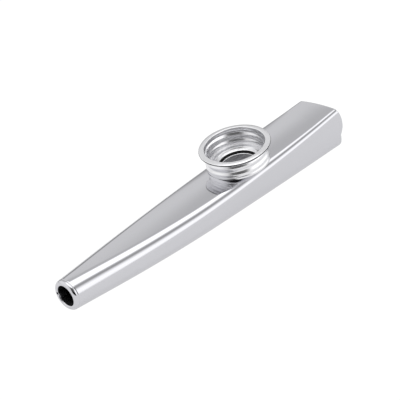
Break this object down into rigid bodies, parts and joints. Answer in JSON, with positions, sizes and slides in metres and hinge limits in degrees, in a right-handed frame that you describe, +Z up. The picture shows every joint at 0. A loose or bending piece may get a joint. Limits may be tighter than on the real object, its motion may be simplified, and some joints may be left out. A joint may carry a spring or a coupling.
{
  "type": "kazoo",
  "caption": "Metal kazoo: tapered tube, round outlet, rounded-rectangular mouth end, and a flared screw cap over a membrane.",
  "frame": {"origin": "middle of the tube's length, on the middle plane, at the height of the flat underside", "axes": "+X from the round outlet to the mouth end, +Z up through the cap, +Y to the left when looking from the outlet to the mouth end"},
  "size_m": [0.1218, 0.0244, 0.0195],
  "materials": {
    "tube_aluminium": "satin",
    "turret_aluminium": "polished",
    "seal_rubber": "matt",
    "ring_aluminium": "bright",
    "film": "thin film, slightly wrinkled"
  },
  "bodies": {
    "body": {"body_tube": "tube_aluminium", "turret_collar": "turret_aluminium", "membrane_ring": "ring_aluminium", "membrane_film": "film"},
    "seal": {"seal_ring": "seal_rubber"},
    "cap": {"turret_cap": "turret_aluminium"}
  },
  "joints": [
    {"name": "seal_lift", "type": "slide", "parent": "body", "child": "seal", "axis": [-0.0386, 0, 0.9993], "range_m": [0, 0.00313]},
    {"name": "cap_turn", "type": "hinge", "parent": "seal", "child": "cap", "pos_m": [0.01985, 0, 0.01245], "axis": [-0.0386, 0, 0.9993], "range_deg": [0, 450]}
  ],
  "couplings": [
    {"joint": "seal_lift", "follows": "cap_turn", "m_per_rad": 0.00039789}
  ]
}
